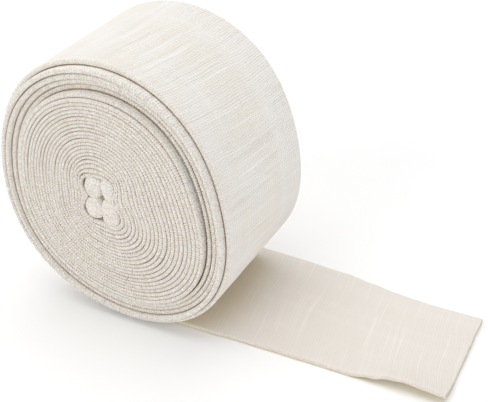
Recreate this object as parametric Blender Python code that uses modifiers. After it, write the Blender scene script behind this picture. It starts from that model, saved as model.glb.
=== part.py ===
"""A roll of tubular support bandage with its loose end pulled out, as two cloth solids.

The bandage is a knitted tube pressed flat, so every turn is two layers of cloth thick. The roll
stands on its rim with the winding axis along Y. Its loose end leaves it under the floor side and
lies along +X. Metres, +Z up. The origin is the middle of the small flat spot on which the roll
stands, halfway across the loose end.
"""

import bisect
import math

import bmesh
import bpy

MM = 0.001

# The cloth
FLAT_WIDTH = 75 * MM          # the tube pressed flat
SHEET_THICKNESS = 2.0 * MM    # two layers of knitted cloth
CLOTH_COLOUR = (0.82, 0.77, 0.70, 1.0)
CLOTH_ROUGHNESS = 0.95

# The winding, seen along its axis
MEAN_RADIUS = 63.3 * MM       # of the outline, taken all the way round
LOOSE_TURNS = 5               # outer turns that stand apart; the ones inside them are tight
LOOSE_PITCH = 2.5 * MM        # from one loose turn to the next
TOP_SLACK = 0.3 * MM          # more than that at the top of the roll, and less at its foot
FLOOR_SINK = 0.5 * MM         # the weight presses the foot of the roll flat by this much
PRESS_HEIGHT = 0.7 * MM       # and what would clear the floor by less than this lies on it too
LEAVE_ANGLE = math.radians(281.0)   # where the loose end leaves the roll, seen from its axis
SEAT_GAP = 0.3 * MM
BACK_TAPER = 1.35 * MM        # the roll is wound this much smaller at the back

# How the outline departs from a circle: (waves round the roll, height, direction of a crest)
OUT_OF_ROUND = (
    (2, 3.65 * MM, math.radians(109.0)),
    (3, 1.00 * MM, math.radians(80.5)),
    (4, 0.60 * MM, math.radians(45.0)),
)

# How far forward the front edge of the cloth lies, as it winds in: (turns from the loose end, forward)
TELESCOPE = (
    (0.00, 0.0 * MM),
    (0.30, 4.0 * MM),
    (0.50, 6.5 * MM),
    (1.00, 6.8 * MM),
    (1.25, 8.8 * MM),
    (1.50, 10.0 * MM),
    (1.72, 10.3 * MM),
    (1.90, 9.0 * MM),
    (2.15, 7.3 * MM),
    (2.50, 6.0 * MM),
    (4.75, 6.3 * MM),
    (5.00, 7.3 * MM),
    (5.25, 9.8 * MM),
    (5.50, 11.8 * MM),
    (5.75, 11.3 * MM),
    (6.00, 8.3 * MM),
)
DISC_FORWARD = 9.8 * MM       # the tight turns, pushed forward as one disc
DISC_TILT = 2.0 * MM          # and further forward at the top than at the foot

# The grooves between the loose turns: (share of the pitch, depth), outermost first
GROOVES = (
    (0.20, 1.4 * MM),
    (0.22, 1.4 * MM),
    (0.20, 1.2 * MM),
    (0.20, 1.2 * MM),
    (0.42, 4.0 * MM),
)
FOLD_ROUND = 0.4 * MM         # the outer fold is rounded off by this much
FOLD_REACH = 1.0 * MM         # over this much of its width

# The tight disc, from its rim to the folded start of the cloth: (mean radius, forward of the disc).
# The deeper rows are the lines where its turns part most.
DISC_RINGS = (
    (47.6 * MM, 0.2 * MM),
    (47.1 * MM, -1.0 * MM),
    (46.6 * MM, 0.0 * MM),
    (40.7 * MM, -0.3 * MM),
    (40.2 * MM, -1.1 * MM),
    (39.7 * MM, -0.2 * MM),
    (33.1 * MM, 0.2 * MM),
    (32.6 * MM, -0.7 * MM),
    (32.1 * MM, 0.3 * MM),
    (25.5 * MM, -0.2 * MM),
    (25.0 * MM, -1.0 * MM),
    (24.5 * MM, -0.1 * MM),
    (17.5 * MM, 0.0 * MM),
)
CORE_SHIFT = -3.0 * MM        # the start of the cloth lies this far off the middle, along X
CORE_ROUND = 18 * MM          # inside this radius the turns grow rounder

# The folded start of the cloth, a clover of four folds: (mean radius, forward, height of the folds)
CORE_RINGS = (
    (15.0 * MM, -0.8 * MM, 0.0 * MM),
    (12.0 * MM, 0.3 * MM, 0.5 * MM),
    (9.0 * MM, 0.2 * MM, 1.0 * MM),
    (6.0 * MM, 0.0 * MM, 1.0 * MM),
    (3.4 * MM, -0.4 * MM, 0.5 * MM),
    (1.6 * MM, -1.5 * MM, 0.0 * MM),
)
CORE_FOLDS = 4
CORE_FOLD_ANGLE = math.radians(52.0)
CORE_HOLE_DEPTH = 6.0 * MM
COLUMNS = 72                  # steps round one turn

# The loose end, in plan: (distance from the middle of the flat spot, near edge, far edge, lift of the
# near edge)
LOOSE_END = (
    (0.0 * MM, -37.2 * MM, 36.2 * MM, 0.0 * MM),
    (36.0 * MM, -36.8 * MM, 35.6 * MM, 0.0 * MM),
    (51.0 * MM, -36.0 * MM, 35.4 * MM, 0.0 * MM),
    (76.0 * MM, -35.6 * MM, 34.3 * MM, 0.0 * MM),
    (91.0 * MM, -35.4 * MM, 32.1 * MM, 0.0 * MM),
    (104.0 * MM, -35.5 * MM, 30.3 * MM, 0.1 * MM),
    (114.0 * MM, -35.0 * MM, 29.6 * MM, 1.8 * MM),
    (122.0 * MM, -34.5 * MM, 29.3 * MM, 3.8 * MM),
    (129.0 * MM, -34.3 * MM, 29.3 * MM, 4.6 * MM),
    (137.0 * MM, -34.4 * MM, 29.6 * MM, 4.0 * MM),
    (146.6 * MM, -34.5 * MM, 29.9 * MM, 3.4 * MM),
)
LIFT_REACH = 0.3              # share of the width over which the lifted edge comes down
END_SLANT = 5.0 * MM          # the near corner of the cut end reaches this much further
END_BOW = 1.3                 # and the cut bows a little on its way there
END_RIPPLE = 0.3 * MM         # the cut wanders by this much
LENGTH_STEPS = 30
WIDTH_STEPS = 12


def read_table(table, place, column):
    """Reads one column of a table of rows in rising order, smoothly between the rows."""
    places = [row[0] for row in table]
    if place <= places[0]:
        return table[0][column]
    if place >= places[-1]:
        return table[-1][column]
    after = bisect.bisect_right(places, place)
    low, high = table[after - 1], table[after]
    share = (place - low[0]) / (high[0] - low[0])
    share = share * share * (3 - 2 * share)
    return low[column] + (high[column] - low[column]) * share


def out_of_round(angle):
    return sum(height * math.cos(waves * (angle - crest)) for waves, height, crest in OUT_OF_ROUND)


def winding_angle(turns):
    """The direction from the axis, so many turns in from where the loose end leaves the roll."""
    return LEAVE_ANGLE - 2 * math.pi * turns


def pitch_at(angle):
    return LOOSE_PITCH + TOP_SLACK * math.sin(angle)


def winding_radius(turns):
    """The distance from the axis to the outside of the cloth, so many turns in."""
    angle = winding_angle(turns)
    return MEAN_RADIUS + (0.5 - turns) * pitch_at(angle) + out_of_round(angle)


def lowest_point():
    """Where the outermost turn would reach lowest if the floor did not press it, from the axis."""
    spiral = [(winding_radius(step / COLUMNS / 8), winding_angle(step / COLUMNS / 8))
              for step in range(8 * COLUMNS)]
    return min(((radius * math.sin(angle), radius * math.cos(angle)) for radius, angle in spiral))


LOWEST_Z, LOWEST_X = lowest_point()
AXIS_X = -LOWEST_X
AXIS_Z = -LOWEST_Z - FLOOR_SINK


def place(radius, angle, y, shift=0.0):
    """A point of the roll, a little further in at the back, and never under the floor."""
    taper = BACK_TAPER * (0.5 + y / FLAT_WIDTH)
    radius *= 1 - taper / MEAN_RADIUS
    x = AXIS_X + shift + radius * math.cos(angle)
    z = AXIS_Z - taper + radius * math.sin(angle)
    return (x, y, z if z > PRESS_HEIGHT else 0.0)


class Face:
    """One end face of the roll: its loose turns as a spiral, its tight disc and its folded middle.

    The cloth has the same width all along, so what stands forward at the front is set back by as
    much at the other end. `end` is -1 for the front face and +1 for the back one.
    """

    def __init__(self, mesh, end):
        self.mesh = mesh
        self.end = end
        whole = LOOSE_TURNS * COLUMNS
        self.outer = [self.edge(step, 0.0) for step in range(whole + COLUMNS + 1)]
        self.inner = [self.edge(step, 1 - self.groove(step)[0]) for step in range(whole + 1)]
        self.bottom = [self.floor_of_groove(step) for step in range(whole + 1)]
        self.loops = [self.disc_loop(*ring) for ring in DISC_RINGS]
        self.loops += [self.core_loop(*ring) for ring in CORE_RINGS]
        self.middle = self.vert(place(0.0, 0.0, self.level(self.disc_forward(0.0) - CORE_HOLE_DEPTH),
                                      CORE_SHIFT))

    def vert(self, point):
        return self.mesh.verts.new(point)

    def level(self, forward, inward=0.0):
        """Y of a point of this face. `inward` sinks it into the roll, whichever end this is."""
        return -forward + self.end * (FLAT_WIDTH / 2 - inward)

    def groove(self, step):
        return GROOVES[min(step // COLUMNS, LOOSE_TURNS - 1)]

    def edge(self, step, share):
        """A fold of the cloth, at a share of the pitch in from the outside of its turn."""
        turns = step / COLUMNS
        angle = winding_angle(turns)
        radius = winding_radius(turns) - share * pitch_at(angle)
        if share == 0.0 and step <= COLUMNS:
            radius -= FOLD_ROUND
        return self.vert(place(radius, angle, self.level(read_table(TELESCOPE, turns, 1))))

    def floor_of_groove(self, step):
        turns = step / COLUMNS
        angle = winding_angle(turns)
        share, depth = self.groove(step)
        radius = winding_radius(turns) - (1 - share / 2) * pitch_at(angle)
        here, inside = (read_table(TELESCOPE, t, 1) for t in (turns, turns + 1))
        lower = min(here, inside) if self.end < 0 else max(here, inside)
        return self.vert(place(radius, angle, self.level(lower, depth)))

    def disc_forward(self, angle):
        return DISC_FORWARD + DISC_TILT * math.sin(angle)

    def loop(self, radius, forward_at):
        """One closed ring of points round the axis, rounder and further off the middle inside."""
        roundness = min(radius / CORE_ROUND, 1.0)
        shift = CORE_SHIFT * (1 - radius / DISC_RINGS[0][0])
        tilt_share = radius / DISC_RINGS[0][0]
        ring = []
        for column in range(COLUMNS):
            angle = winding_angle(column / COLUMNS)
            level = DISC_FORWARD + tilt_share * DISC_TILT * math.sin(angle)
            out = radius + roundness * out_of_round(angle)
            y = self.level(level, -forward_at(angle))
            ring.append(self.vert(place(out, angle, y, shift)))
        return ring

    def disc_loop(self, radius, forward):
        return self.loop(radius, lambda angle: forward)

    def core_loop(self, radius, forward, fold):
        return self.loop(radius, lambda angle: forward
                         + fold * math.cos(CORE_FOLDS * (angle - CORE_FOLD_ANGLE)))

    def strip(self, line, other, first, count, offset=0):
        for step in range(first, first + count):
            a, b = line[step], line[step + 1]
            c, d = other[step + 1 + offset], other[step + offset]
            self.mesh.faces.new((a, b, c, d))

    def ring_strip(self, loop, other):
        for column in range(COLUMNS):
            following = (column + 1) % COLUMNS
            self.mesh.faces.new((loop[column], loop[following], other[following], other[column]))

    def fan(self, tip, rim):
        for a, b in zip(rim, rim[1:]):
            self.mesh.faces.new((tip, a, b))

    def build(self):
        whole = LOOSE_TURNS * COLUMNS
        self.strip(self.outer, self.inner, 0, whole)
        self.strip(self.inner, self.bottom, 0, whole)
        self.strip(self.bottom, self.outer, 0, whole, COLUMNS)
        self.rim_of_disc(whole)
        for loop, other in zip(self.loops, self.loops[1:]):
            self.ring_strip(loop, other)
        last = self.loops[-1]
        self.fan(self.middle, last + [last[0]])

    def rim_of_disc(self, whole):
        """Joins the end of the spiral to the first closed ring of the disc."""
        ring = self.loops[0]
        for column in range(1, COLUMNS):
            step = whole + column
            following = (column + 1) % COLUMNS
            self.mesh.faces.new((self.outer[step], self.outer[step + 1], ring[following], ring[column]))
        self.fan(ring[1], [ring[0], self.outer[whole + COLUMNS], self.bottom[whole], self.inner[whole],
                           self.outer[whole], self.outer[whole + 1]])


def rim_line(mesh, end):
    """The outside of the outermost turn, just in from its rounded fold at one end."""
    line = []
    for step in range(COLUMNS + 1):
        turns = step / COLUMNS
        y = -read_table(TELESCOPE, turns, 1) + end * (FLAT_WIDTH / 2 - FOLD_REACH)
        line.append(mesh.verts.new(place(winding_radius(turns), winding_angle(turns), y)))
    return line


def wound_roll():
    mesh = bmesh.new()
    front, back = Face(mesh, -1), Face(mesh, +1)
    front.build()
    back.build()
    near, far = rim_line(mesh, -1), rim_line(mesh, +1)
    rows = (front.outer, near, far, back.outer)
    for line, other in zip(rows, rows[1:]):
        for step in range(COLUMNS):
            mesh.faces.new((line[step], line[step + 1], other[step + 1], other[step]))
    # the step from which the loose end leaves
    mesh.faces.new([front.outer[0], front.inner[0], front.bottom[0], front.outer[COLUMNS],
                    near[COLUMNS], far[COLUMNS], back.outer[COLUMNS], back.bottom[0],
                    back.inner[0], back.outer[0], far[0], near[0]])
    bmesh.ops.triangulate(mesh, faces=mesh.faces[:], quad_method="SHORT_EDGE", ngon_method="EAR_CLIP")
    bmesh.ops.recalc_face_normals(mesh, faces=mesh.faces[:])
    return as_object("wound_roll", mesh)


def loose_end():
    """A flat grid moved to the plan of the loose end, then given its thickness upwards."""
    start = AXIS_X + winding_radius(0.0) * math.cos(LEAVE_ANGLE) + SEAT_GAP
    length = LOOSE_END[-1][0] - start
    mesh = bmesh.new()
    bmesh.ops.create_grid(mesh, x_segments=LENGTH_STEPS, y_segments=WIDTH_STEPS, size=0.5)
    for vert in mesh.verts:
        along, across = vert.co.x + 0.5, vert.co.y + 0.5
        x = start + along * length
        near, far, lift = (read_table(LOOSE_END, x, column) for column in (1, 2, 3))
        down = max(0.0, 1 - across / LIFT_REACH)
        slant = END_SLANT * (1 - across) ** END_BOW + END_RIPPLE * math.sin(9 * across)
        vert.co = (x + slant * along ** 2, near + (far - near) * across, lift * down ** 2)
    bmesh.ops.recalc_face_normals(mesh, faces=mesh.faces[:])
    if mesh.faces[:][0].normal.z < 0:
        bmesh.ops.reverse_faces(mesh, faces=mesh.faces[:])
    sheet = as_object("loose_end", mesh)
    wall = sheet.modifiers.new("cloth thickness", "SOLIDIFY")
    wall.thickness = SHEET_THICKNESS
    wall.offset = 1.0
    return sheet


def as_object(name, mesh):
    data = bpy.data.meshes.new(name)
    mesh.to_mesh(data)
    mesh.free()
    data.shade_smooth()
    data.set_sharp_from_angle(angle=math.radians(40))
    return bpy.data.objects.new(name, data)


def cloth(name):
    material = bpy.data.materials.new(name)
    material.use_nodes = True
    shader = material.node_tree.nodes["Principled BSDF"]
    shader.inputs["Base Color"].default_value = CLOTH_COLOUR
    shader.inputs["Roughness"].default_value = CLOTH_ROUGHNESS
    shader.inputs["Metallic"].default_value = 0.0
    return material


def main():
    for old in list(bpy.data.objects):
        bpy.data.objects.remove(old)
    parts = bpy.data.collections.new("tubular bandage roll")
    bpy.context.scene.collection.children.link(parts)
    for part in (wound_roll(), loose_end()):
        parts.objects.link(part)
        part.data.materials.append(cloth(part.name + " cloth"))


main()
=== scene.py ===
# %% [markdown]
# A roll of tubular support bandage
# The real thing is a knitted tube of cotton and elastic, pressed flat and wound up with its width
# across the roll. Nothing holds it but its own turns. The last stretch has been pulled out and lies
# flat. This lesson winds it as one long strip of flattened tube, because every line on the roll's
# face is a fold of that strip, and a disc with lines drawn on it never catches the light that way.

# %% Load the frame
import bisect
import math

import bmesh
import bpy
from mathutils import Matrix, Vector, noise


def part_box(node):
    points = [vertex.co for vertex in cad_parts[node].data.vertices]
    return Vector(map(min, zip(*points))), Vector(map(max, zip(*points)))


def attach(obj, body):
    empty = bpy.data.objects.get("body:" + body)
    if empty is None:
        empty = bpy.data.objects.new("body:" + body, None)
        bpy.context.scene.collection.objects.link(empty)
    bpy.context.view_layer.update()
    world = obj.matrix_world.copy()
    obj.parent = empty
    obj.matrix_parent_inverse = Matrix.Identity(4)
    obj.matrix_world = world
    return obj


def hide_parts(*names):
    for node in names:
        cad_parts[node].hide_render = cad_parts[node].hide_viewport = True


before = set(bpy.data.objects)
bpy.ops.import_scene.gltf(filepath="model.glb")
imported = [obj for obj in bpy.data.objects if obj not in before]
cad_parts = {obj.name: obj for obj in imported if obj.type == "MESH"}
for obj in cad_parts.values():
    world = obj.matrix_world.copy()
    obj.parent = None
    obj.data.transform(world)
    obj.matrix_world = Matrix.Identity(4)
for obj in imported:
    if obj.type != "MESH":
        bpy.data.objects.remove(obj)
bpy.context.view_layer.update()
end_low, end_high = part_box("loose_end")
print("solid loose end:", end_low, end_high)

# %% [markdown]
# One function for every node
# Geometry trees and material trees are both long chains of nodes. One small function that adds a
# node, sets it and wires it keeps each step on one line. It gives back the node's first output,
# which is what the next node nearly always wants.

# %% Add a node
MM = 0.001
CM = 0.01


def add(tree, kind, settings=None, inputs=None):
    node = tree.nodes.new(kind)
    for name, value in (settings or {}).items():
        setattr(node, name, value)
    for name, value in (inputs or {}).items():
        if isinstance(value, bpy.types.NodeSocket):
            tree.links.new(value, node.inputs[name])
        else:
            node.inputs[name].default_value = value
    return node.outputs[0]


def colour(code):
    """An sRGB hex code as the linear colour that Blender's sockets hold."""
    parts = [int(code[place:place + 2], 16) / 255 for place in (0, 2, 4)]
    linear = [c / 12.92 if c <= 0.04045 else ((c + 0.055) / 1.055) ** 2.4 for c in parts]
    return (*linear, 1.0)


# %% [markdown]
# How the bandage is wound
# A machine winds it, so its path follows a rule: a spiral that comes in by one thickness each turn.
# Three things make it look handled. The outline isn't a true circle, the outer five turns stand a
# little apart, and the turns have slid sideways against each other, which is called telescoping.
# The outline's sizes are those of the solid model, so the strip fills the same space. How far each
# turn has slid is read more closely here.

# %% The law of the winding
FLAT_WIDTH = 75 * MM
MEAN_RADIUS = 63.3 * MM
MEAN_TURN = 0.5               # turns in, where the outline has its mean radius
LOOSE_TURNS = 6               # the five that stand apart and the one that they lie on
LOOSE_PITCH = 2.5 * MM        # from one loose turn to the next
TOP_SLACK = 0.3 * MM          # more than that at the top, and less at the foot
TIGHT_PITCH = 1.85 * MM
FLOOR_SINK = 0.5 * MM         # the roll's weight presses its foot flat by this much
PRESS_HEIGHT = 0.5 * MM       # and what would clear the floor by less than this lies on it too
BACK_TAPER = 1.35 * MM        # the roll's radius is this much less at the back
LEAVE_ANGLE = math.radians(281.0)   # where the loose end leaves the roll, from +X towards the top

# What takes the outline off a circle: (waves round the roll, height, where one has its crest)
OUT_OF_ROUND = (
    (2, 3.65 * MM, math.radians(109.0)),
    (3, 1.00 * MM, math.radians(80.5)),
    (4, 0.60 * MM, math.radians(45.0)),
)

# How far the cloth has slid forward: (turns in from the loose end, forward)
TELESCOPE = (
    (0.00, 0.0 * MM),
    (0.30, 4.0 * MM),
    (0.50, 6.5 * MM),
    (1.00, 6.8 * MM),
    (1.25, 8.2 * MM),
    (1.50, 10.0 * MM),
    (1.72, 10.3 * MM),
    (1.90, 9.0 * MM),
    (2.15, 8.3 * MM),
    (2.50, 9.4 * MM),
    (2.72, 6.6 * MM),
    (3.10, 6.6 * MM),
    (3.50, 7.9 * MM),
    (3.75, 6.2 * MM),
    (4.75, 7.2 * MM),
    (5.00, 7.5 * MM),
    (5.25, 9.3 * MM),
    (5.50, 10.8 * MM),
    (5.75, 9.9 * MM),
    (6.00, 8.3 * MM),
)
DISC_FORWARD = 9.8 * MM       # the tight turns, pushed forward as one disc
DISC_TILT = 2.0 * MM          # and further forward at the top than at the foot
DISC_RADIUS = 47.6 * MM

# How much of the room for a turn its cloth fills: (turns in, share). The rest is the gap inside it.
FILL = (
    (0.5, 0.90),
    (1.5, 0.88),
    (2.5, 0.98),
    (3.5, 0.93),
    (4.5, 0.96),
    (5.5, 0.97),
    (6.5, 1.00),
)
OPEN_TURN = 4.73              # here the fifth turn stands off the sixth
OPEN_SPREAD = 0.13
OPEN_GAP = 1.35 * MM


def read_table(table, place, column=1):
    """A value between two rows of a table, eased so that it has no corner at a row."""
    places = [row[0] for row in table]
    if place <= places[0]:
        return table[0][column]
    if place >= places[-1]:
        return table[-1][column]
    after = bisect.bisect_right(places, place)
    low, high = table[after - 1], table[after]
    share = (place - low[0]) / (high[0] - low[0])
    share = share * share * (3 - 2 * share)
    return low[column] + (high[column] - low[column]) * share


def winding_angle(turns):
    return LEAVE_ANGLE - 2 * math.pi * turns


def out_of_round(angle):
    return sum(height * math.cos(waves * (angle - crest)) for waves, height, crest in OUT_OF_ROUND)


print("forward at the top of the second turn, mm:", read_table(TELESCOPE, 1.5) / MM)

# %% [markdown]
# From the rim to the middle
# The tight turns keep to the same rule with a smaller step. Towards the middle the roll was wound on
# a folded wad of cloth, so the last turns are an upright oval with slight dents. How thick the cloth
# is at any place is worked out from the room that the spiral leaves it there, because knitted cloth
# swells until it touches its neighbours.

# %% The path of the cloth
CORE_SHIFT = -6.6 * MM        # the middle lies up to this far left of the axis
CORE_DROP = -1.2 * MM         # and this far below it
CORE_ROUND = 15.5 * MM        # inside this mean radius the turns grow rounder
CORE_EDGE = 11.0 * MM         # mean radius at which the cloth meets the folded wad
OVAL_WAVES = 2                # an oval has two crests, and this one stands the middle upright
OVAL_HEIGHT = 1.5 * MM
OVAL_ANGLE = math.radians(68.0)
DENT_EDGE = 17 * MM           # inside this mean radius the turns follow the four folds
DENT_WAVES = 4
DENT_ANGLE = math.radians(49.0)
DENT_HEIGHT = 1.15 * MM
LOWEST_STEPS = 576            # tries round the outer turn to find its foot
NUDGE = 0.001                 # turns, far enough along to read a direction

# How the tight turns differ from one to the next. Each wander changes over its own part of a turn.
SETTLE_TURNS = 0.5            # the first of them settle into the disc over this much
RESTLESS = 0.35 * MM          # one stands forward of the next by up to this much
RESTLESS_TURNS = 0.65
UNEVEN = 0.05                 # share by which the cloth is thicker or thinner
UNEVEN_TURNS = 0.6
TIGHT_GAP = 0.34 * MM         # about the widest gap in the disc, where most turns nearly touch
LEAST_GAP = 0.07 * MM
GAP_TURNS = 1.1
FINE_GAP_TURNS = GAP_TURNS / 3
WANDER_SCALE = 1.7            # a wander changes about this many times in a quarter turn
RESTLESS_SEED, GAP_SEED, FINE_GAP_SEED, UNEVEN_SEED = 0.0, 4.0, 6.0, 9.0


def mean_radius(turns):
    """Of the outside of the cloth in the tight turns, out of round left aside."""
    return MEAN_RADIUS + (MEAN_TURN - LOOSE_TURNS) * LOOSE_PITCH - (turns - LOOSE_TURNS) * TIGHT_PITCH


LAST_TURN = LOOSE_TURNS + (mean_radius(LOOSE_TURNS) - CORE_EDGE) / TIGHT_PITCH


def outside(turns):
    """(x, z) from the axis of the outside of the cloth, so many turns in."""
    angle = winding_angle(turns)
    if turns <= LOOSE_TURNS:
        radius = MEAN_RADIUS + (MEAN_TURN - turns) * (LOOSE_PITCH + TOP_SLACK * math.sin(angle))
        radius += out_of_round(angle)
        shift = drop = 0.0
    else:
        mean = mean_radius(turns)
        sag = (MEAN_TURN - LOOSE_TURNS) * TOP_SLACK * math.sin(angle) * mean / mean_radius(LOOSE_TURNS)
        radius = mean + sag + min(mean / CORE_ROUND, 1.0) * out_of_round(angle)
        dent = min(max((DENT_EDGE - mean) / (DENT_EDGE - CORE_EDGE), 0.0), 1.0)
        radius += dent * DENT_HEIGHT * math.cos(DENT_WAVES * (angle - DENT_ANGLE))
        inner = max(1 - mean / DISC_RADIUS, 0.0)
        radius += inner * OVAL_HEIGHT * math.cos(OVAL_WAVES * (angle - OVAL_ANGLE))
        shift, drop = CORE_SHIFT * inner, CORE_DROP * inner
    return Vector((shift + radius * math.cos(angle), 0.0, drop + radius * math.sin(angle)))


def lowest_point():
    tries = (outside(step / LOWEST_STEPS) for step in range(LOWEST_STEPS))
    return min(tries, key=lambda point: point.z)


LOWEST = lowest_point()
AXIS = Vector((-LOWEST.x, 0.0, -LOWEST.z - FLOOR_SINK))


def outward_at(turns):
    direction = (outside(turns + NUDGE) - outside(max(turns - NUDGE, 0.0))).normalized()
    outward = Vector((-direction.z, 0.0, direction.x))
    return outward if outward.dot(outside(turns)) > 0 else -outward


def wander(turns, turns_each, seed):
    """A slow, smooth change from -1 to 1 that differs from one turn to the next."""
    angle = winding_angle(turns)
    place = Vector((math.cos(angle), math.sin(angle) + seed, turns / turns_each))
    return noise.noise(place * WANDER_SCALE)


def forward(turns):
    """How far the cloth has slid forward, measured from the loose end."""
    if turns <= LOOSE_TURNS:
        return read_table(TELESCOPE, turns)
    angle, mean = winding_angle(turns), mean_radius(turns)
    tilt = DISC_TILT * math.sin(angle) * min(mean / DISC_RADIUS, 1.0)
    settle = min((turns - LOOSE_TURNS) / SETTLE_TURNS, 1.0)
    return DISC_FORWARD + tilt + settle * RESTLESS * wander(turns, RESTLESS_TURNS, RESTLESS_SEED)


def thickness(turns):
    """Of the cloth, which fills its room but for the gap that it leaves to the turn inside it."""
    room = (outside(turns) - outside(turns + 1)).dot(outward_at(turns))
    gap = OPEN_GAP * math.exp(-((turns - OPEN_TURN) / OPEN_SPREAD) ** 2)
    if turns > LOOSE_TURNS:
        opened = wander(turns, GAP_TURNS, GAP_SEED) + wander(turns, FINE_GAP_TURNS, FINE_GAP_SEED)
        gap += LEAST_GAP + TIGHT_GAP * max(opened, 0.0)
    return room * read_table(FILL, turns) * (1 + UNEVEN * wander(turns, UNEVEN_TURNS, UNEVEN_SEED)) - gap


print(f"{LAST_TURN:.1f} turns, axis at {AXIS.x / MM:.1f}, {AXIS.z / MM:.1f} mm")

# %% [markdown]
# Guide lines
# The strip will be swept by Geometry Nodes along a guide: a bare line of points, one for each row of
# the finished mesh. A point carries what the sweep needs there. Its own place is the middle of the
# front fold, and attributes hold the middle of the back fold, the direction that faces outwards,
# three sizes, and the length of cloth so far, by which the knit is drawn later.

# %% Lay the guides
class Guide:
    """Rows of a strip of flattened tube, in order along it."""

    def __init__(self):
        self.front, self.back, self.outward, self.sizes, self.along = [], [], [], [], []

    def row(self, front, back, outward, half, along, lift=0.0, cut=0.0):
        self.front.append(front)
        self.back.append(back)
        self.outward.append(outward)
        self.sizes.append((half, lift, cut))
        self.along.append(along)

    def close(self, row):
        """Repeats a row with no thickness, which shuts the tube there."""
        _, lift, cut = self.sizes[row]
        again = (self.front[row], self.back[row], self.outward[row], (0.0, lift, cut), self.along[row])
        lists = (self.front, self.back, self.outward, self.sizes, self.along)
        for values, value in zip(lists, again):
            values.insert(0 if row == 0 else len(values), value)

    def as_object(self, name):
        mesh = bpy.data.meshes.new(name)
        edges = [(row, row + 1) for row in range(len(self.front) - 1)]
        mesh.from_pydata(self.front, edges, [])
        for title, values in (("back", self.back), ("outward", self.outward), ("sizes", self.sizes)):
            layer = mesh.attributes.new(title, "FLOAT_VECTOR", "POINT")
            layer.data.foreach_set("vector", [part for value in values for part in value])
        mesh.attributes.new("along", "FLOAT", "POINT").data.foreach_set("value", self.along)
        piece = bpy.data.objects.new(name, mesh)
        bpy.context.scene.collection.objects.link(piece)
        return piece


def on_roll(point, y):
    """Puts a point of the winding at its width, a little further in at the back."""
    taper = BACK_TAPER * (0.5 + y / FLAT_WIDTH)
    scaled = point * (1 - taper / MEAN_RADIUS)
    return Vector((AXIS.x + scaled.x, y, AXIS.z - taper + scaled.z))


def pressed(height):
    """Cloth lower than the press height lies on the floor, and cloth above twice that isn't moved."""
    share = min(max((height - PRESS_HEIGHT) / PRESS_HEIGHT, 0.0), 1.0)
    return height * share * share * (3 - 2 * share)


FOLD_DEPTH = 0.85             # how far a fold bulges, against half the thickness of the cloth
STEP_REACH = 4                # within this many spacings of the axis, a step turns no further than there


def winding_guide(first, last, spacing, along):
    guide = Guide()
    turns = first
    while turns < last:
        here, outward = outside(turns), outward_at(turns)
        half = thickness(turns) / 2
        middle = here - outward * half
        edge, y = FLAT_WIDTH / 2 - half * FOLD_DEPTH, -forward(turns)
        ends = [on_roll(middle, y + side * edge) for side in (-1, 1)]
        for end in ends:
            end.z = half + pressed(end.z - half)
        guide.row(*ends, outward, half, along)
        turns += spacing / max(here.length, spacing * STEP_REACH) / (2 * math.pi)
        along += (outside(turns) - here).length
    guide.close(0)
    guide.close(len(guide.front) - 1)
    return guide, turns, along


# %% [markdown]
# The section of the strip
# A tube pressed flat has two faces and two round folds. The section is a closed run of points, and
# each holds three numbers: where it is across the cloth, from 0 to 1, and how far it leans out of
# the fold and off the face. The sweep multiplies the last two by half the thickness at each row.

# %% Make the sections
FOLD_FULLNESS = 2.7           # of a fold between its neighbours: 2 would be round, and more is squarer


def section(name, fold_steps, face_steps):
    points = []
    for share, side in ((0, -1), (1, 1)):
        for step in range(fold_steps + 1):
            turn = math.pi * (step / fold_steps - 0.5) * -side
            bulge, out = (abs(part) ** (2 / FOLD_FULLNESS) for part in (math.cos(turn), math.sin(turn)))
            points.append((share, side * bulge, math.copysign(out, math.sin(turn))))
        for step in range(1, face_steps):
            along_face = step / face_steps
            points.append((along_face if side < 0 else 1 - along_face, 0.0, -side))
    points.append(points[0])
    mesh = bpy.data.meshes.new(name)
    mesh.from_pydata(points, [], [])
    print(name, "has", len(points) - 1, "columns")
    return bpy.data.objects.new(name, mesh)


fine_section = section("fine section", fold_steps=7, face_steps=16)
fold_section = section("fold section", fold_steps=5, face_steps=1)

# %% [markdown]
# The knit as a field
# Elastic threads run across the bandage and pull it into small ribs, about one to each millimetre
# and a quarter. They wander and some stand higher than others. The same chain of nodes draws them as
# relief in the mesh and again in the material, so highlights and relief agree.

# %% Ribs
RIB_PITCH = 1.3 * MM
RIB_WANDER = 9 * MM           # how far along the cloth their spacing changes
RIB_LENGTH = 60 * MM          # how far across it one rib stays straight
RIB_STRAY = 9.0               # radians by which the spacing strays
RIB_GROUP = 2.3 * MM          # ribs of like strength come in groups of this length
GROUP_NOISE = (0.3, 0.7)      # the noise at which a group is weakest and strongest
WEAKEST_RIB = 0.15
SKEW = 0.09                   # the ribs don't run square across, but lean by this slope
EDGE_PULL = 2.2 * MM          # they bend further near the front fold
EDGE_REACH = 14 * MM
WAVER = 2.7 * MM              # and they waver by this much
WAVER_SIZE = (60 * MM, 24 * MM)   # over these lengths along and across the cloth


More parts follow.
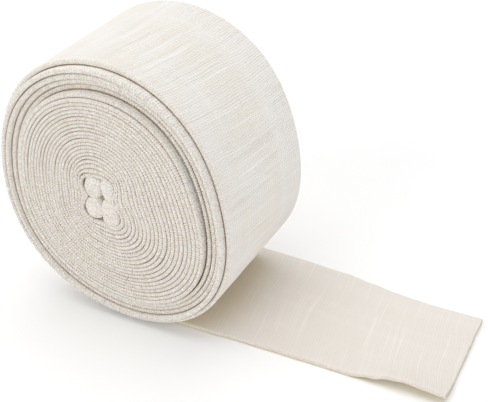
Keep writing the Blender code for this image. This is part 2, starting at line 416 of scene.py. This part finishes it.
def skewed(tree, along, across):
    """The place along the cloth, shifted so that what runs across it leans, bends and wavers."""
    place = add(tree, "ShaderNodeCombineXYZ", {}, {0: along, 1: across})
    waver = add(tree, "ShaderNodeVectorMath", {"operation": "DIVIDE"}, {0: place, 1: (*WAVER_SIZE, 1.0)})
    waver = add(tree, "ShaderNodeTexNoise", {}, {"Vector": waver, "Scale": 1.0, "Detail": 0.0})
    along = add(tree, "ShaderNodeMath", {"operation": "MULTIPLY_ADD"}, {0: waver, 1: WAVER, 2: along})
    bend = add(tree, "ShaderNodeMath", {"operation": "DIVIDE"}, {0: across, 1: -EDGE_REACH})
    bend = add(tree, "ShaderNodeMath", {"operation": "EXPONENT"}, {0: bend})
    along = add(tree, "ShaderNodeMath", {"operation": "MULTIPLY_ADD"}, {0: bend, 1: EDGE_PULL, 2: along})
    return add(tree, "ShaderNodeMath", {"operation": "MULTIPLY_ADD"}, {0: across, 1: -SKEW, 2: along})


def ribs(tree, along, across):
    """A field from -1 to 1, a wave along the cloth whose pitch and strength wander."""
    place = add(tree, "ShaderNodeCombineXYZ", {}, {0: along, 1: across})
    slow = add(tree, "ShaderNodeVectorMath", {"operation": "MULTIPLY"},
               {0: place, 1: (1 / RIB_WANDER, 1 / RIB_LENGTH, 0)})
    stray = add(tree, "ShaderNodeTexNoise", {}, {"Vector": slow, "Scale": 1.0, "Detail": 1.0})
    stray = add(tree, "ShaderNodeMath", {"operation": "MULTIPLY"}, {0: stray, 1: RIB_STRAY})
    phase = add(tree, "ShaderNodeMath", {"operation": "MULTIPLY_ADD"},
                {0: along, 1: 2 * math.pi / RIB_PITCH, 2: stray})
    wave = add(tree, "ShaderNodeMath", {"operation": "SINE"}, {0: phase})
    grouped = add(tree, "ShaderNodeVectorMath", {"operation": "MULTIPLY"},
                  {0: place, 1: (1 / RIB_GROUP, 1 / RIB_LENGTH, 0)})
    strength = add(tree, "ShaderNodeTexNoise", {}, {"Vector": grouped, "Scale": 1.0, "Detail": 2.0})
    strength = add(tree, "ShaderNodeMapRange", {},
                   {0: strength, 1: GROUP_NOISE[0], 2: GROUP_NOISE[1], 3: WEAKEST_RIB, 4: 1.0})
    return add(tree, "ShaderNodeMath", {"operation": "MULTIPLY"}, {0: wave, 1: strength})


# %% Crease
CREASE_PLACE = 19 * MM        # from the front fold: here the outer turn was once pressed
CREASE_STRAY = 5 * MM         # it strays across the cloth by this much, over this length
CREASE_LENGTH = 70 * MM
CREASE_WIDTH = 1.3 * MM
CREASE_FADE = 45 * MM         # it comes and goes over this length
CREASE_NOISE = (0.42, 0.62)   # the noise at which it is gone and plain


def crease(tree, along, across):
    """A field that rises from 0 to 1 at a soft crease, which comes and goes along the cloth."""
    place = add(tree, "ShaderNodeCombineXYZ", {}, {0: along})
    stray = add(tree, "ShaderNodeTexNoise", {},
                {"Vector": place, "Scale": 1 / CREASE_LENGTH, "Detail": 1.0})
    stray = add(tree, "ShaderNodeMath", {"operation": "MULTIPLY_ADD"},
                {0: stray, 1: -CREASE_STRAY, 2: CREASE_STRAY / 2 - CREASE_PLACE})
    off = add(tree, "ShaderNodeMath", {"operation": "ADD"}, {0: across, 1: stray})
    off = add(tree, "ShaderNodeMath", {"operation": "DIVIDE"}, {0: off, 1: CREASE_WIDTH})
    off = add(tree, "ShaderNodeMath", {"operation": "MULTIPLY"}, {0: off, 1: off})
    off = add(tree, "ShaderNodeMath", {"operation": "MULTIPLY"}, {0: off, 1: -1.0})
    line = add(tree, "ShaderNodeMath", {"operation": "EXPONENT"}, {0: off})
    shown = add(tree, "ShaderNodeTexNoise", {},
                {"Vector": place, "Scale": 1 / CREASE_FADE, "Detail": 0.0})
    shown = add(tree, "ShaderNodeMapRange", {}, {0: shown, 1: CREASE_NOISE[0], 2: CREASE_NOISE[1]})
    return add(tree, "ShaderNodeMath", {"operation": "MULTIPLY"}, {0: line, 1: shown})


# %% [markdown]
# The sweep
# Curve to Mesh could draw this strip, but it keeps one section all the way and turns it as it likes.
# Here a flat grid is made with a row for each guide point and a column for each section point, and
# every grid point looks up its row and column and moves to its place. That keeps the strip square to
# the winding axis and lets its width, thickness and edges change from row to row.

# %% Build the sweep
LIFT_REACH = 0.3              # share of the width over which a lifted edge comes down
WEAR_SCALE = 30 * MM          # size of the soft dents of handled cloth
CUT_SCALE = 11 * MM           # the cut wanders over this length
WELD = 0.001 * MM             # points nearer than this become one


def sweep_tree():
    tree = bpy.data.node_groups.new("Sweep a flattened tube", "GeometryNodeTree")
    sockets = (("Guide", "Geometry"), ("Section", "Object"), ("Rib Height", "Float"),
               ("Dent Height", "Float"), ("Crease Height", "Float"), ("Fold Depth", "Float"),
               ("Cut Wander", "Float"), ("Material", "Material"))
    for name, kind in sockets:
        tree.interface.new_socket(name=name, in_out="INPUT", socket_type="NodeSocket" + kind)
    tree.interface.new_socket(name="Strip", in_out="OUTPUT", socket_type="NodeSocketGeometry")
    given = add(tree, "NodeGroupInput").node.outputs

    # a grid with a row for each guide point and a column for each section point
    shape = add(tree, "GeometryNodeObjectInfo", {}, {"Object": given["Section"]}).node.outputs["Geometry"]
    rows = add(tree, "GeometryNodeAttributeDomainSize", {}, {"Geometry": given["Guide"]})
    columns = add(tree, "GeometryNodeAttributeDomainSize", {}, {"Geometry": shape})
    grid = add(tree, "GeometryNodeMeshGrid", {}, {"Size X": 1.0, "Size Y": 1.0, "Vertices X": rows,
                                                 "Vertices Y": columns})
    flat = add(tree, "ShaderNodeSeparateXYZ", {}, {0: add(tree, "GeometryNodeInputPosition")}).node.outputs
    picks = []
    for axis, count in ((0, rows), (1, columns)):
        most = add(tree, "ShaderNodeMath", {"operation": "SUBTRACT"}, {0: count, 1: 1.0})
        share = add(tree, "ShaderNodeMath", {"operation": "ADD"}, {0: flat[axis], 1: 0.5})
        number = add(tree, "ShaderNodeMath", {"operation": "MULTIPLY"}, {0: share, 1: most})
        picks.append(add(tree, "ShaderNodeMath", {"operation": "ROUND"}, {0: number}))
    row, column = picks

    # what the guide says of this row, and the section of this column
    found = {}
    for name, kind in (("back", "FLOAT_VECTOR"), ("outward", "FLOAT_VECTOR"), ("sizes", "FLOAT_VECTOR"),
                       ("along", "FLOAT")):
        value = add(tree, "GeometryNodeInputNamedAttribute", {"data_type": kind}, {"Name": name})
        found[name] = add(tree, "GeometryNodeSampleIndex", {"data_type": kind},
                          {"Geometry": given["Guide"], "Value": value, "Index": row})
    here = add(tree, "GeometryNodeInputPosition")
    front = add(tree, "GeometryNodeSampleIndex", {"data_type": "FLOAT_VECTOR"},
                {"Geometry": given["Guide"], "Value": here, "Index": row})
    corner = add(tree, "GeometryNodeSampleIndex", {"data_type": "FLOAT_VECTOR"},
                 {"Geometry": shape, "Value": here, "Index": column})
    share, bulge, out = add(tree, "ShaderNodeSeparateXYZ", {}, {0: corner}).node.outputs
    half, lift, cut = add(tree, "ShaderNodeSeparateXYZ", {}, {0: found["sizes"]}).node.outputs
    along = found["along"]
    folded = add(tree, "ShaderNodeMath", {"operation": "ABSOLUTE"}, {0: bulge})
    bulge = add(tree, "ShaderNodeMath", {"operation": "MULTIPLY"}, {0: bulge, 1: given["Fold Depth"]})
    across = add(tree, "ShaderNodeMath", {"operation": "MULTIPLY"}, {0: share, 1: FLAT_WIDTH})
    across = add(tree, "ShaderNodeMath", {"operation": "MULTIPLY_ADD"}, {0: bulge, 1: half, 2: across})
    over = add(tree, "ShaderNodeMath", {"operation": "MULTIPLY"}, {0: out, 1: half})

    # the relief of the knit and of handling
    rib = add(tree, "ShaderNodeMath", {"operation": "MULTIPLY"},
              {0: ribs(tree, skewed(tree, along, across), across), 1: given["Rib Height"]})
    cloth = add(tree, "ShaderNodeCombineXYZ", {}, {0: along, 1: across})
    wear = add(tree, "ShaderNodeTexNoise", {}, {"Vector": cloth, "Scale": 1 / WEAR_SCALE, "Detail": 2.0})
    wear = add(tree, "ShaderNodeMath", {"operation": "SUBTRACT"}, {0: wear, 1: 0.5})
    relief = add(tree, "ShaderNodeMath", {"operation": "MULTIPLY_ADD"},
                 {0: wear, 1: given["Dent Height"], 2: rib})
    relief = add(tree, "ShaderNodeMath", {"operation": "MULTIPLY_ADD"},
                 {0: crease(tree, along, across), 1: given["Crease Height"], 2: relief})
    height = add(tree, "ShaderNodeMath", {"operation": "ADD"}, {0: half, 1: relief})
    shut = add(tree, "ShaderNodeMath", {"operation": "COMPARE"}, {0: half, 1: 0.0, 2: WELD})
    height = add(tree, "GeometryNodeSwitch", {"input_type": "FLOAT"}, {0: shut, 1: height, 2: 0.0})

    # the place of the point
    width = add(tree, "ShaderNodeVectorMath", {"operation": "SUBTRACT"}, {0: found["back"], 1: front})
    middle = add(tree, "ShaderNodeVectorMath", {"operation": "MULTIPLY_ADD"},
                 {0: width, 1: share, 2: front})
    lean = add(tree, "ShaderNodeCombineXYZ", {}, {1: bulge})
    normal = add(tree, "ShaderNodeVectorMath", {"operation": "MULTIPLY_ADD"},
                 {0: found["outward"], 1: out, 2: lean})
    place = add(tree, "ShaderNodeVectorMath", {"operation": "MULTIPLY_ADD"},
                {0: normal, 1: height, 2: middle})
    down = add(tree, "ShaderNodeMath", {"operation": "MULTIPLY_ADD"},
               {0: share, 1: -1 / LIFT_REACH, 2: 1.0})
    down = add(tree, "ShaderNodeMath", {"operation": "MAXIMUM"}, {0: down, 1: 0.0})
    down = add(tree, "ShaderNodeMath", {"operation": "MULTIPLY"}, {0: down, 1: down})
    raised = add(tree, "ShaderNodeMath", {"operation": "MULTIPLY"}, {0: down, 1: lift})
    across_only = add(tree, "ShaderNodeCombineXYZ", {}, {1: across})
    ragged = add(tree, "ShaderNodeTexNoise", {}, {"Vector": across_only, "Scale": 1 / CUT_SCALE})
    ragged = add(tree, "ShaderNodeMath", {"operation": "SUBTRACT"}, {0: ragged, 1: 0.5})
    ragged = add(tree, "ShaderNodeMath", {"operation": "MULTIPLY"}, {0: ragged, 1: given["Cut Wander"]})
    ragged = add(tree, "ShaderNodeMath", {"operation": "MULTIPLY"}, {0: ragged, 1: cut})
    moved = add(tree, "ShaderNodeCombineXYZ", {}, {0: ragged, 2: raised})
    place = add(tree, "ShaderNodeVectorMath", {"operation": "ADD"}, {0: place, 1: moved})
    x, y, z = add(tree, "ShaderNodeSeparateXYZ", {}, {0: place}).node.outputs
    z = add(tree, "ShaderNodeMath", {"operation": "MAXIMUM"}, {0: z, 1: 0.0})
    place = add(tree, "ShaderNodeCombineXYZ", {}, {0: x, 1: y, 2: z})

    # the knit's own coordinates stay on the mesh for the material
    coordinates = add(tree, "ShaderNodeCombineXYZ", {}, {0: along, 1: across, 2: over})
    strip = add(tree, "GeometryNodeStoreNamedAttribute", {"data_type": "FLOAT_VECTOR", "domain": "POINT"},
                {"Geometry": grid, "Name": "cloth", "Value": coordinates})
    strip = add(tree, "GeometryNodeStoreNamedAttribute", {"data_type": "FLOAT", "domain": "POINT"},
                {"Geometry": strip, "Name": "folded", "Value": folded})
    strip = add(tree, "GeometryNodeSetPosition", {}, {"Geometry": strip, "Position": place})
    strip = add(tree, "GeometryNodeMergeByDistance", {}, {"Geometry": strip, "Distance": WELD})
    strip = add(tree, "GeometryNodeSetShadeSmooth", {}, {"Geometry": strip, "Shade Smooth": True})
    strip = add(tree, "GeometryNodeRealizeInstances", {}, {"Geometry": strip})
    strip = add(tree, "GeometryNodeSetMaterial", {}, {"Geometry": strip, "Material": given["Material"]})
    tree.links.new(strip, tree.nodes.new("NodeGroupOutput").inputs[0])
    return tree


sweep = sweep_tree()
print(len(sweep.nodes), "nodes in the sweep")

# %% [markdown]
# Sweeping and baking
# The modifier's inputs are set by their identifiers before the strip is first worked out. Then the
# result is taken as a plain mesh and the modifier goes, because the finished piece has to hold its
# shape without the tree. A shape that came out inside out is turned, since a closed strip must have
# its faces outwards.

# %% Sweep one strip
def signed_volume(mesh):
    """Below zero where the faces point inwards."""
    shape = bmesh.new()
    shape.from_mesh(mesh)
    volume = shape.calc_volume(signed=True)
    shape.free()
    return volume


def swept(guide, name, shape, material, rib_height, dent_height, crease_height=0.0,
          fold_depth=FOLD_DEPTH, cut_wander=0.0):
    line = guide.as_object(name)
    modifier = line.modifiers.new("sweep", "NODES")
    modifier.node_group = sweep
    values = {"Section": shape, "Rib Height": rib_height, "Dent Height": dent_height,
              "Crease Height": crease_height, "Fold Depth": fold_depth, "Cut Wander": cut_wander,
              "Material": material}
    for item in sweep.interface.items_tree:
        if item.in_out == "INPUT" and item.name in values:
            modifier[item.identifier] = values[item.name]
    bpy.context.view_layer.update()
    mesh = bpy.data.meshes.new_from_object(line.evaluated_get(bpy.context.evaluated_depsgraph_get()))
    line.modifiers.clear()
    line.data = mesh
    mesh.name = name
    if signed_volume(mesh) < 0:
        mesh.flip_normals()
    mesh.calc_loop_triangles()
    print(f"{name}: {len(mesh.loop_triangles)} triangles, {signed_volume(mesh) / CM ** 3:.1f} ml")
    return line


# %% [markdown]
# Cotton and elastic knit
# Unbleached cotton with rubber threads, knitted round and never dyed: matt, soft and slightly warm,
# with a bloom of loose fibre. What the eye reads are the ribs across it, a few brighter ones among
# them, soft bands along it where the yarn changed, and faint rows of stitches. The stitches are finer
# than a picture of the whole roll can show, so they are drawn about half as coarse again. Between the
# turns and under the roll, ambient occlusion paints shade into the colour as a yellow-brown.

# %% The knit
CREAM = colour("F8F5F1")
CREAM_SHADE = colour("E4DDD5")    # between the ribs
CREAM_WARM = colour("F5EFE3")     # patches
FIBRE = colour("FBF9F5")          # loose fibre and brighter threads
# Partly painted shade: the grey of the opened stitches at the folds, darkest in the hollows between them,
# which also darkens the roll's face
OPEN_STITCH_SHADE = colour("CCC3B4")    # at the folds, where it can be looked into
# Painted shade between the turns: ambient occlusion mixes this dark yellow-brown into the colour where the
# turns nearly touch
PAINTED_CREVICE_SHADE = colour("BF9654")     # deep between the turns
# Painted shade under the roll: a paler yellow that ambient occlusion mixes into the loose end near the
# roll
PAINTED_NIP_SHADE = colour("DEC888")  # and under the roll, where light has passed through cloth
WALE_PITCH = 1.9 * MM         # of the rows of stitches
WALE_HEIGHT = 0.4             # theirs, against the ribs
FUZZ_SIZE = 0.7 * MM
FUZZ_HEIGHT = 1.2
LOOP_SIZE = 0.9 * MM
KNIT_RELIEF = 0.22 * MM       # what the bump takes a height of 1 for
SHADE_HEIGHTS = (-0.4, 1.4)   # the heights at which the shade between the ribs is full and least
PATCHES = ((26 * MM, 26 * MM), 0.35, 0.85)
SPECKS = (0.15, 0.65)         # from the middle of a stitch to its rim
SPECK_STRENGTH = 0.55
# Painted shade: ambient occlusion within this reach darkens and yellows the colour, most where no sky is
# open and not at all from this share of open sky
PAINTED_SHADE_REACH = 1.0 * MM      # what lies nearer than this makes a crevice
OPEN_SKY = 0.6                # the share of open sky from which the cloth isn't hidden
SKY_SAMPLES = 12

# Paler marks: (size along and across the cloth, noise from which they start, where full, strength)
PALE_MARKS = (
    ((400 * MM, 10 * MM), 0.45, 0.75, 0.5),     # soft bands along it, where the yarn changed
    ((0.75 * MM, RIB_LENGTH), 0.58, 0.68, 1.3),  # brighter threads across it
)

# Cotton is matt and hardly glossy, and its loose fibres catch light from the side
COTTON = (("Roughness", 0.92), ("Specular IOR Level", 0.2), ("Sheen Weight", 0.12),
          ("Sheen Roughness", 0.5))


def streaks(tree, cloth, size, least, most):
    """A field from 0 to 1, noise stretched along or across the cloth."""
    place = add(tree, "ShaderNodeVectorMath", {"operation": "DIVIDE"}, {0: cloth, 1: (*size, 1.0)})
    found = add(tree, "ShaderNodeTexNoise", {}, {"Vector": place, "Scale": 1.0, "Detail": 1.0})
    return add(tree, "ShaderNodeMapRange", {}, {0: found, 1: least, 2: most})


def knit(name, relief, contrast, loops, shade=0.0, creased=0.0, reach=PAINTED_SHADE_REACH, painted_shade_share=0.75,
         painted_shade_tint=PAINTED_CREVICE_SHADE):
    """Relief is the strength of the bump, contrast that of the marks, loops how open the stitches are,
    shade how much the cloth is darker all over, creased how pale the crease is, and reach, with the
    share and tint after it, how near something must lie for shade to be painted in, and how strong
    and how yellow that painted shade is."""
    material = bpy.data.materials.new(name)
    material.use_nodes = True
    tree = material.node_tree
    shader = tree.nodes["Principled BSDF"]
    cloth = add(tree, "ShaderNodeAttribute", {"attribute_name": "cloth"}).node.outputs["Vector"]
    cloth_along, across, over = add(tree, "ShaderNodeSeparateXYZ", {}, {0: cloth}).node.outputs
    along = skewed(tree, cloth_along, across)
    cloth = add(tree, "ShaderNodeCombineXYZ", {}, {0: along, 1: across, 2: over})

    # the height of the knit: ribs, rows of stitches, fuzz, and a hollow in each stitch
    rib = ribs(tree, along, across)
    wale = add(tree, "ShaderNodeMath", {"operation": "MULTIPLY"}, {0: across, 1: 2 * math.pi / WALE_PITCH})
    wale = add(tree, "ShaderNodeMath", {"operation": "SINE"}, {0: wale})
    fuzz = add(tree, "ShaderNodeTexNoise", {}, {"Vector": cloth, "Scale": 1 / FUZZ_SIZE, "Detail": 3.0})
    stitch = add(tree, "ShaderNodeTexVoronoi", {}, {"Vector": cloth, "Scale": 1 / LOOP_SIZE})
    height = rib
    for field, strength in ((wale, WALE_HEIGHT), (fuzz, FUZZ_HEIGHT), (stitch, -loops)):
        height = add(tree, "ShaderNodeMath", {"operation": "MULTIPLY_ADD"},
                     {0: field, 1: strength, 2: height})
    bump = add(tree, "ShaderNodeBump", {}, {"Strength": relief, "Distance": KNIT_RELIEF, "Height": height})
    tree.links.new(bump, shader.inputs["Normal"])

    # warm patches, shade between the ribs, pale bands along the cloth and pale threads across it
    layers = [(streaks(tree, cloth, *PATCHES), CREAM_WARM)]
    deep = add(tree, "ShaderNodeMapRange", {},
               {0: height, 1: SHADE_HEIGHTS[0] - loops, 2: SHADE_HEIGHTS[1] - loops / 2,
                3: contrast + shade, 4: shade})
    layers.append((deep, CREAM_SHADE))
    for size, least, most, strength in PALE_MARKS:
        pale = streaks(tree, cloth, size, least, most)
        pale = add(tree, "ShaderNodeMath", {"operation": "MULTIPLY"}, {0: pale, 1: contrast * strength})
        layers.append((pale, FIBRE))

    # the crease, open stitches at the folds with painted shade in their hollows, and yellow painted shade
    # where little light comes
    line = crease(tree, cloth_along, across)
    line = add(tree, "ShaderNodeMath", {"operation": "MULTIPLY"}, {0: line, 1: creased})
    folded = add(tree, "ShaderNodeAttribute", {"attribute_name": "folded"}).node.outputs["Fac"]
    speck = add(tree, "ShaderNodeMapRange", {},
                {0: stitch, 1: SPECKS[0], 2: SPECKS[1], 3: 0.0, 4: SPECK_STRENGTH})
    opened = add(tree, "ShaderNodeMath", {"operation": "MULTIPLY"}, {0: folded, 1: speck})
    light = add(tree, "ShaderNodeAmbientOcclusion", {"samples": SKY_SAMPLES}, {"Distance": reach})
    painted_shade = add(tree, "ShaderNodeMapRange", {},
                 {0: light.node.outputs["AO"], 1: 0.0, 2: OPEN_SKY, 3: painted_shade_share, 4: 0.0})
    layers += [(line, FIBRE), (opened, OPEN_STITCH_SHADE), (painted_shade, painted_shade_tint)]

    tint = CREAM
    for share, over_it in layers:
        layer = add(tree, "ShaderNodeMix", {"data_type": "RGBA"}, {0: share, 6: tint, 7: over_it})
        tint = layer.node.outputs[2]
    tree.links.new(tint, shader.inputs["Base Color"])
    for socket, value in COTTON:
        shader.inputs[socket].default_value = value
    return material


# Stretched over the roll, it is smooth, and its ribs are drawn by thin lines of light and shade
stretched_knit = knit("rib knit of cotton and elastic, stretched smooth", relief=0.6, contrast=0.7,
                      loops=0.4, creased=0.4)

# At a fold the stitches open, so it looks grainy and greyer, with shade painted into the hollows of its
# stitches and yellow shade painted into its crevices
folded_knit = knit("rib knit of cotton and elastic, at its folds", relief=0.8, contrast=0.8, loops=1.5,
                   reach=1.8 * MM)

# Let go and lying flat, it is soft and even, a little darker, and painted shade makes it yellower where
# the roll shades it
relaxed_knit = knit("rib knit of cotton and elastic, pressed flat", relief=0.18, contrast=0.2,
                    loops=0.3, shade=0.85, reach=34 * MM, painted_shade_share=0.65, painted_shade_tint=PAINTED_NIP_SHADE)
print("materials:", stretched_knit.name, "/", folded_knit.name, "/", relaxed_knit.name)

# %% [markdown]
# The turns
# The outermost turn shows its whole width, so it gets closely set rows and columns. The turns inside
# it show only their folds, a few millimetres at each end. There the ribs end in small loops, which
# touch their neighbours here and there and make the dotted lines between the turns.

# %% Wind the roll
FINE_SPACING = 0.31 * MM
FOLD_SPACING = 0.43 * MM      # three rows to a rib
OUTER_END = 1.03              # from here in, the outer turn covers the cloth
DISC_MIDDLE = 12.0            # the tight turns come in two pieces that meet here

outer_guide, reached, wound = winding_guide(0.0, OUTER_END, FINE_SPACING, 0.0)
roll_pieces = [swept(outer_guide, "outer_turn", fine_section, stretched_knit, rib_height=0.07 * MM,
                     dent_height=0.25 * MM, crease_height=0.18 * MM)]
for name, until in (("loose_turns", LOOSE_TURNS), ("rim_of_disc", DISC_MIDDLE),
                    ("middle_of_disc", LAST_TURN)):
    guide, reached, wound = winding_guide(reached, until, FOLD_SPACING, wound)
    roll_pieces.append(swept(guide, name, fold_section, folded_knit, rib_height=0.23 * MM,
                             dent_height=0.20 * MM))
print(f"{wound:.2f} m of bandage on the roll")

# %% [markdown]
# The folded start
# Winding began on the end of the tube, folded into a wad of four. Each fold runs the whole width of
# the roll and shows a rounded head. A fold is the same strip again, only short and fat: its thickness
# swells and shrinks along it like a pillow's, and its head is round because the sweep rounds the fold
# over the whole thickness.

# %% Fold the start
# (right, up) from the middle of the wad, half its length, half its thickness, the way it runs
WAD_FOLDS = (
    ((-5.2 * MM, 5.3 * MM), 6.2 * MM, 4.7 * MM, math.radians(80.0)),
    ((2.8 * MM, 5.6 * MM), 5.9 * MM, 3.6 * MM, math.radians(102.0)),
    ((-5.2 * MM, -5.8 * MM), 5.7 * MM, 4.8 * MM, math.radians(104.0)),
    ((3.5 * MM, -7.3 * MM), 7.8 * MM, 4.9 * MM, math.radians(96.0)),
)
WAD_MIDDLE = Vector((-3.6 * MM, 0.0, -0.9 * MM))
WAD_BACK = 0.3 * MM           # its heads stand back from the disc
WAD_DEPTH = 0.45              # and are flatter than a free fold
WAD_ROWS = 36
WAD_FULLNESS = 2.6            # 2 would be an ellipse, and more is squarer


def wad_guide(middle, half_length, half_thickness, lean, along):
    """Rows along one fold, closest at its two ends, where it rounds off to nothing."""
    guide = Guide()
    way = Vector((math.cos(lean), 0.0, math.sin(lean)))
    outward = Vector((-way.z, 0.0, way.x))
    centre = WAD_MIDDLE + Vector((middle[0], 0.0, middle[1]))
    edge = FLAT_WIDTH / 2 - half_thickness * WAD_DEPTH
    y = WAD_BACK - DISC_FORWARD
    for row in range(WAD_ROWS + 1):
        share = -math.cos(math.pi * row / WAD_ROWS)
        half = half_thickness * (1 - abs(share) ** WAD_FULLNESS) ** (1 / WAD_FULLNESS)
        spot = centre + way * share * half_length
        ends = [on_roll(spot, y + side * edge) for side in (-1, 1)]
        guide.row(*ends, outward, half, along + share * half_length)
    return guide


for number, (middle, half_length, half_thickness, lean) in enumerate(WAD_FOLDS, 1):
    wound += 2 * half_length
    guide = wad_guide(middle, half_length, half_thickness, lean, wound)
    roll_pieces.append(swept(guide, f"folded_start_{number}", fold_section, folded_knit,
                             rib_height=0.10 * MM, dent_height=0.3 * MM, fold_depth=WAD_DEPTH))

# %% [markdown]
# The loose end
# It lies on the floor as it came off the roll: nearly flat, pulled a little narrower, with its near
# edge curling up towards the cut. The scissors left a slanting and slightly wavering cut, and as the
# cloth is a tube its two layers part there by a hair.

# %% Lay the loose end
# (distance from the middle of the flat spot, near edge, far edge, lift of the near edge)
LOOSE_END = (
    (6.0 * MM, -37.5 * MM, 37.5 * MM, 0.0 * MM),
    (36.0 * MM, -36.8 * MM, 35.6 * MM, 0.0 * MM),
    (51.0 * MM, -36.0 * MM, 35.4 * MM, 0.0 * MM),
    (76.0 * MM, -35.6 * MM, 34.3 * MM, 0.0 * MM),
    (91.0 * MM, -35.4 * MM, 32.1 * MM, 0.0 * MM),
    (104.0 * MM, -35.5 * MM, 30.3 * MM, 0.1 * MM),
    (114.0 * MM, -35.0 * MM, 29.6 * MM, 1.8 * MM),
    (122.0 * MM, -34.5 * MM, 29.3 * MM, 3.8 * MM),
    (129.0 * MM, -34.3 * MM, 29.3 * MM, 4.6 * MM),
    (137.0 * MM, -34.4 * MM, 29.6 * MM, 4.0 * MM),
    (146.6 * MM, -34.5 * MM, 29.9 * MM, 3.4 * MM),
)
END_THICKNESS = 2.0 * MM
END_SLANT = 5.0 * MM          # the near corner of the cut reaches this much further
SLANT_POWER = 2               # the slant grows towards the cut with this power of the distance
CUT_WANDER = 1.2 * MM         # the scissors wandered by about half of this
CUT_POWER = 8                 # and that dies away from the cut with this power
MOUTH = ((0.0, 0.30), (-4.0 * MM, 0.1))     # inside the cut: (distance back, share of the thickness)
DOWN = Vector((0.0, 0.0, -1.0))


def loose_guide():
    guide = Guide()
    start = outer_guide.front[0].x
    length = LOOSE_END[-1][0] - start
    steps = round(length / FINE_SPACING)
    half = END_THICKNESS / 2
    rows = [(step / steps, 0.0, half) for step in range(steps + 1)]
    rows += [(1.0, back, half * share) for back, share in MOUTH]
    for share, back, row_half in rows:
        x = start + share * length
        near, far, lift = (read_table(LOOSE_END, x, column) for column in (1, 2, 3))
        slant = END_SLANT * share ** SLANT_POWER
        front_fold = Vector((x + slant + back, near + half, half))
        back_fold = Vector((x + back, far - half, half))
        guide.row(front_fold, back_fold, DOWN, row_half, start - x - back, lift, share ** CUT_POWER)
    guide.close(0)
    guide.close(len(guide.front) - 1)
    return guide, length


end_guide, end_length = loose_guide()
pulled_out_end = swept(end_guide, "pulled_out_end", fine_section, relaxed_knit, rib_height=0.04 * MM,
                       dent_height=0.45 * MM, cut_wander=CUT_WANDER)
print(f"{end_length / MM:.0f} mm of bandage lies loose")

# %% Tell the frame what each piece stands for
for piece in roll_pieces:
    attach(piece, "root")
    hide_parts("wound_roll")
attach(pulled_out_end, "root")
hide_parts("loose_end")

# %% [markdown]
# Floor, light and camera
# The roll stands in a bright, soft studio on a pale floor. A very wide light overhead makes the top
# the lightest part, a weaker one from the front fills the face so that its folds stay readable, and
# the sky is as bright as the floor at the horizon, so that no edge shows between them.

# %% Set the studio
WHITE = colour("FFFFFF")
PAPER_ROUGHNESS = 0.9
FLOOR_SIZE = 8.0
FLOOR_DROP = 0.1 * MM         # below the cloth that lies on it
HORIZON_TOP = 0.05            # height of the view's direction up to which the sky is as at the horizon
ZENITH_FROM = 0.5             # and from which it is as overhead


def studio_floor():
    bpy.ops.mesh.primitive_plane_add(size=FLOOR_SIZE, location=(0, 0, -FLOOR_DROP))
    floor = bpy.context.object
    floor.name = "studio_floor"
    material = bpy.data.materials.new("matt white studio paper")
    material.use_nodes = True
    shader = material.node_tree.nodes["Principled BSDF"]
    shader.inputs["Base Color"].default_value = WHITE
    shader.inputs["Roughness"].default_value = PAPER_ROUGHNESS
    floor.data.materials.append(material)


def soft_light(name, toward, spread, strength):
    """A far and very wide lamp, which lights the whole floor alike and leaves soft shadows."""
    lamp = bpy.data.lights.new(name, "SUN")
    lamp.angle = spread
    lamp.energy = strength
    holder = bpy.data.objects.new(name, lamp)
    holder.location = toward
    holder.rotation_euler = (-Vector(toward)).to_track_quat("-Z", "Y").to_euler()
    bpy.context.scene.collection.objects.link(holder)


def sky(horizon, zenith):
    """White all round, as bright as the floor at the horizon and softer overhead."""
    world = bpy.data.worlds.new("studio")
    world.use_nodes = True
    tree = world.node_tree
    facing = add(tree, "ShaderNodeTexCoord").node.outputs["Generated"]
    up = add(tree, "ShaderNodeSeparateXYZ", {}, {0: facing}).node.outputs["Z"]
    strength = add(tree, "ShaderNodeMapRange", {},
                   {0: up, 1: HORIZON_TOP, 2: ZENITH_FROM, 3: horizon, 4: zenith})
    tree.links.new(strength, tree.nodes["Background"].inputs["Strength"])
    tree.nodes["Background"].inputs["Color"].default_value = WHITE
    bpy.context.scene.world = world


studio_floor()
sky(horizon=1.0, zenith=0.5)
soft_light("overhead light", toward=(-0.21, 0.14, 1.4), spread=math.radians(66.0), strength=1.42)
soft_light("front light", toward=(-0.7, -1.6, 0.7), spread=math.radians(40.0), strength=0.65)
bpy.context.scene.view_settings.view_transform = "Standard"

# %% Place the camera
CAMERA_PLACE = Vector((0.28685, -0.48559, 0.39943))
CAMERA_AZIMUTH = math.radians(27.28)
CAMERA_ELEVATION = math.radians(32.47)
CAMERA_LENS = 103.28
SENSOR_WIDTH = 36.0
level = math.cos(CAMERA_ELEVATION)
sight = Vector((-math.sin(CAMERA_AZIMUTH) * level, math.cos(CAMERA_AZIMUTH) * level,
                -math.sin(CAMERA_ELEVATION)))
lens = bpy.data.cameras.new("camera")
lens.lens = CAMERA_LENS
lens.sensor_width = SENSOR_WIDTH
camera = bpy.data.objects.new("camera", lens)
camera.location = CAMERA_PLACE
camera.rotation_euler = sight.to_track_quat("-Z", "Y").to_euler()
bpy.context.scene.collection.objects.link(camera)
bpy.context.scene.camera = camera

# %% Finish
bpy.context.view_layer.update()
